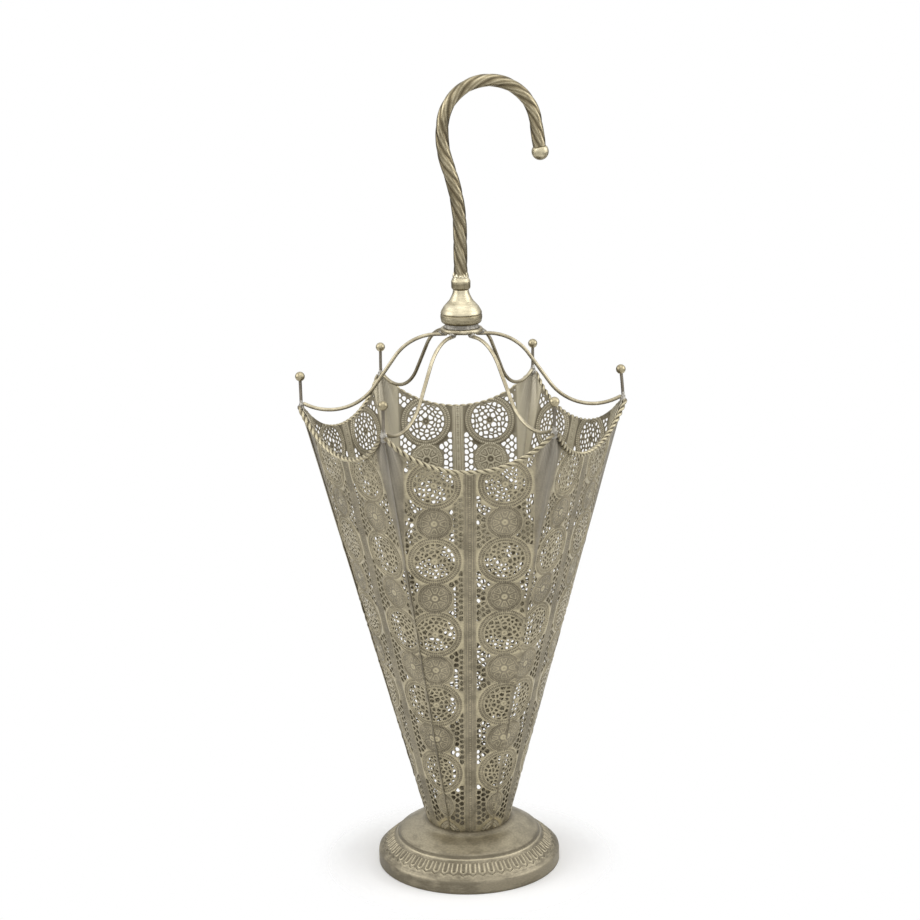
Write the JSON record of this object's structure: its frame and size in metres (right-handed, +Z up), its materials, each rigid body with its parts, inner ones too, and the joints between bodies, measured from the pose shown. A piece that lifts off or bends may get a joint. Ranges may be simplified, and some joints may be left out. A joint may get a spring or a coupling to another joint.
{
  "type": "umbrella stand",
  "caption": "Umbrella stand shaped like an upturned umbrella: pierced sheet panels, roped scalloped rim, wire ribs with ball tips, round stepped foot and a twisted crook handle.",
  "frame": {"origin": "centre of the round foot, on the floor", "axes": "+Z up, +X through the first tip and towards the open side of the crook"},
  "size_m": [0.3432, 0.2992, 0.8403],
  "materials": {
    "panel_sheet": "aged, pierced and embossed thin sheet, grey-green patina with rubbed high points",
    "foot_sheet": "aged pressed sheet, mottled patina",
    "bright_wire": "drawn wire, rubbed bright on top",
    "rope_wire": "two strands of drawn wire twisted together, dark in the grooves",
    "post_rod": "dull dark rod",
    "tip_brass": "turned, satin",
    "turned_brass": "turned, satin, with fine lathe lines",
    "twisted_rod": "drawn and twisted, dark in the flutes",
    "solder": "rough grey solder"
  },
  "bodies": {
    "root": {"base_foot": "foot_sheet", "floor_pan": "panel_sheet", "gore_panel_1": "panel_sheet", "gore_panel_2": "panel_sheet", "gore_panel_3": "panel_sheet", "gore_panel_4": "panel_sheet", "gore_panel_5": "panel_sheet", "gore_panel_6": "panel_sheet", "rim_rope_1": "rope_wire", "rim_rope_2": "rope_wire", "rim_rope_3": "rope_wire", "rim_rope_4": "rope_wire", "rim_rope_5": "rope_wire", "rim_rope_6": "rope_wire", "tip_post_1": "post_rod", "tip_post_2": "post_rod", "tip_post_3": "post_rod", "tip_post_4": "post_rod", "tip_post_5": "post_rod", "tip_post_6": "post_rod", "tip_ball_1": "tip_brass", "tip_ball_2": "tip_brass", "tip_ball_3": "tip_brass", "tip_ball_4": "tip_brass", "tip_ball_5": "tip_brass", "tip_ball_6": "tip_brass", "rib_wire_1": "bright_wire", "rib_wire_2": "bright_wire", "rib_wire_3": "bright_wire", "rib_wire_4": "bright_wire", "rib_wire_5": "bright_wire", "rib_wire_6": "bright_wire", "hub_ring": "bright_wire", "hub_collar": "solder", "bell_finial": "turned_brass", "collar_bead": "turned_brass", "crook_handle": "twisted_rod", "crook_ball": "turned_brass"}
  },
  "joints": []
}
